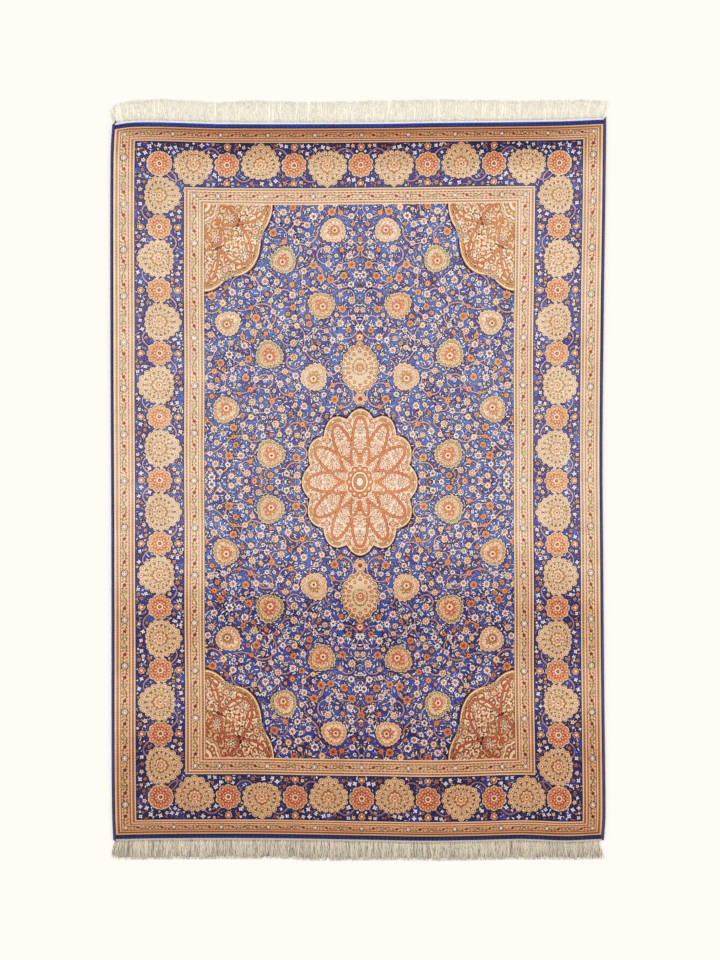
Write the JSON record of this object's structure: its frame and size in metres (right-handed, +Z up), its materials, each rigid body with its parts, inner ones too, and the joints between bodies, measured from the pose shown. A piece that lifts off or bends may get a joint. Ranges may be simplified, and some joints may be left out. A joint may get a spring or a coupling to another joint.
{
  "type": "hand-knotted silk carpet",
  "caption": "Rectangular hand-knotted silk pile carpet lying flat, with overcast side cords, a corded band across each end and a warp fringe at head and foot.",
  "frame": {"origin": "on the floor under the middle of the whole outline, fringe included", "axes": "+X across the width, +Y along the length towards the head end, +Z up from the floor"},
  "size_m": [1.2666, 1.9406, 0.005],
  "materials": {
    "silk_pile": "clipped silk pile, lustrous, blue ground with cream, gold, orange and rose pattern",
    "blue_silk_cord": "wrapped and twisted navy to royal blue silk yarn, soft gloss",
    "ivory_warp_fringe": "undyed ivory warp yarn, matt, fine loose strands"
  },
  "bodies": {
    "root": {"carpet": "silk_pile", "side_cord_left": "blue_silk_cord", "side_cord_right": "blue_silk_cord", "end_band_head": "blue_silk_cord", "end_band_foot": "blue_silk_cord", "fringe_head": "ivory_warp_fringe", "fringe_foot": "ivory_warp_fringe"}
  },
  "joints": []
}
